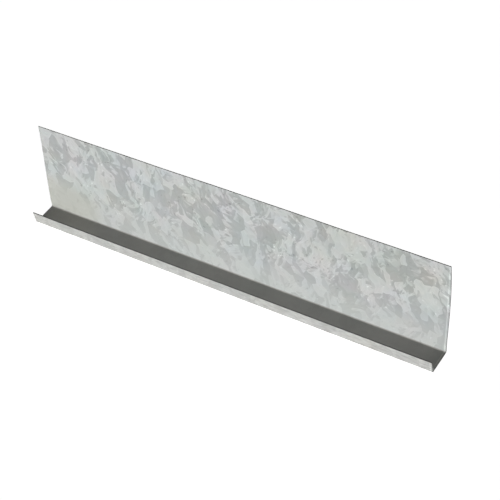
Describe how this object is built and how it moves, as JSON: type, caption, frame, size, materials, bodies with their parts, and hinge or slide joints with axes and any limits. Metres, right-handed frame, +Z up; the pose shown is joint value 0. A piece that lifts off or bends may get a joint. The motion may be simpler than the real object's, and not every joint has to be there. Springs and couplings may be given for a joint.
{
  "type": "casing bead",
  "caption": "Galvanised steel casing bead: a J-shaped plaster stop with a tall solid flange, a narrow web and a short lip that leans outward.",
  "frame": {"origin": "on the floor, under the centre of the piece's bounding box", "axes": "+X along the piece, +Y from the lip to the flange's back, +Z up the flange"},
  "size_m": [0.387, 0.028, 0.0889],
  "materials": {
    "galvanised_steel": "hot-dip galvanised with spangle"
  },
  "bodies": {
    "root": {"casing_bead": "galvanised_steel"}
  },
  "joints": []
}
